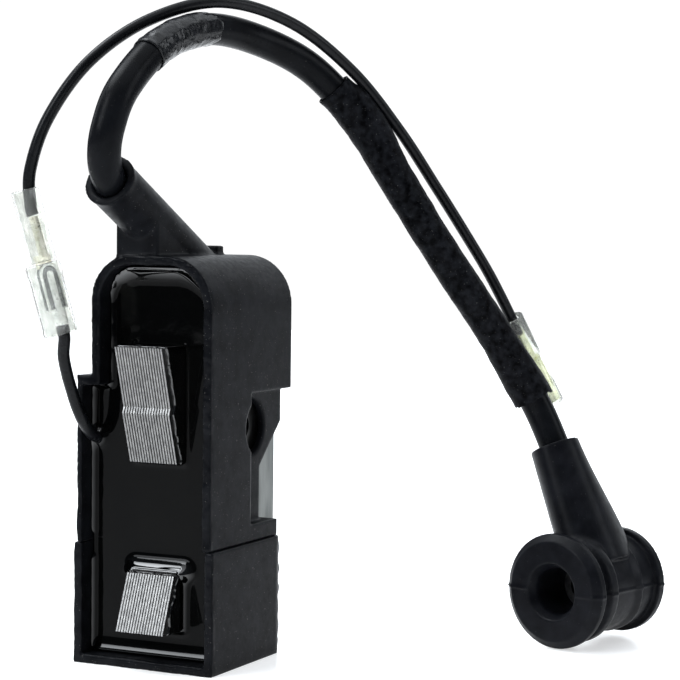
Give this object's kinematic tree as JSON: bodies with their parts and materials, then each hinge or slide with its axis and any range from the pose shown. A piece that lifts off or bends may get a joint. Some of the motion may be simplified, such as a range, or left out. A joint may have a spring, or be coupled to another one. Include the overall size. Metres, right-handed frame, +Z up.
{
  "type": "ignition coil with plug lead",
  "caption": "Small-engine ignition coil: potted case on a laminated core, plug lead with rubber boot, and stop lead with a blade connector.",
  "frame": {"origin": "middle of the coil body's foot, level with the upper case's mid depth line", "axes": "+X to the right seen from the potted front, +Y to the back, away from the pole faces, +Z up the coil body towards the high tension tower"},
  "size_m": [0.1129, 0.1124, 0.1451],
  "materials": {
    "case_plastic": "satin black moulded plastic with dust and scuffs",
    "potting": "glossy black potting resin",
    "core_steel": "bare lamination steel, ground pole faces",
    "plate_steel": "bare gray steel",
    "bobbin_plastic": "natural moulded plastic",
    "winding_wire": "enamelled copper wire",
    "board_laminate": "green board laminate",
    "component_plastic": "moulded component bodies",
    "terminal_brass": "bare brass",
    "terminal_tin": "tinned brass",
    "lead_rubber": "satin black cable jacket",
    "tape": "glossy black insulating tape",
    "sleeve_rubber": "dull wrinkled black sleeving",
    "boot_rubber": "moulded black rubber with a parting line",
    "wire_black": "black wire insulation",
    "spring_steel": "dark spring steel",
    "terminal_pale": "pale yellow plated brass",
    "clear_sleeve": "clear soft plastic sleeving"
  },
  "bodies": {
    "coil": {"case_shell": "case_plastic", "lower_cover": "case_plastic", "potting_resin": "potting", "core_leg": "core_steel", "core_yoke": "core_steel", "core_rivets": "core_steel", "spacer_plate": "plate_steel", "primary_bobbin": "bobbin_plastic", "primary_winding": "winding_wire", "secondary_bobbin": "bobbin_plastic", "secondary_winding": "winding_wire", "control_board": "board_laminate", "switch_transistor": "component_plastic", "board_resistors": "component_plastic", "board_capacitor": "component_plastic", "ht_contact": "terminal_brass", "ht_lead": "lead_rubber", "tape_patch": "tape", "lead_sleeve": "sleeve_rubber", "stop_lead": "wire_black", "stop_socket": "terminal_tin", "socket_housing": "clear_sleeve"},
    "boot": {"plug_boot": "boot_rubber", "plug_terminal": "spring_steel"},
    "extension": {"stop_tab": "terminal_brass", "tab_housing": "clear_sleeve", "extension_lead": "wire_black", "end_terminal": "terminal_pale"},
    "end_cover": {"end_sleeve": "clear_sleeve"}
  },
  "joints": [
    {"name": "boot_swivel", "type": "hinge", "parent": "coil", "child": "boot", "pos_m": [0.06395, 0.06196, 0.04467], "axis": [-0.4024, 0.1154, 0.9081], "range_deg": [-30, 30]},
    {"name": "stop_unplug", "type": "slide", "parent": "coil", "child": "extension", "axis": [-0.2178, -0.1398, 0.9659], "range_m": [0, 0.012]},
    {"name": "end_sleeve_slide", "type": "slide", "parent": "extension", "child": "end_cover", "axis": [-0.2777, -0.4444, 0.8517], "range_m": [0, 0.01]}
  ]
}
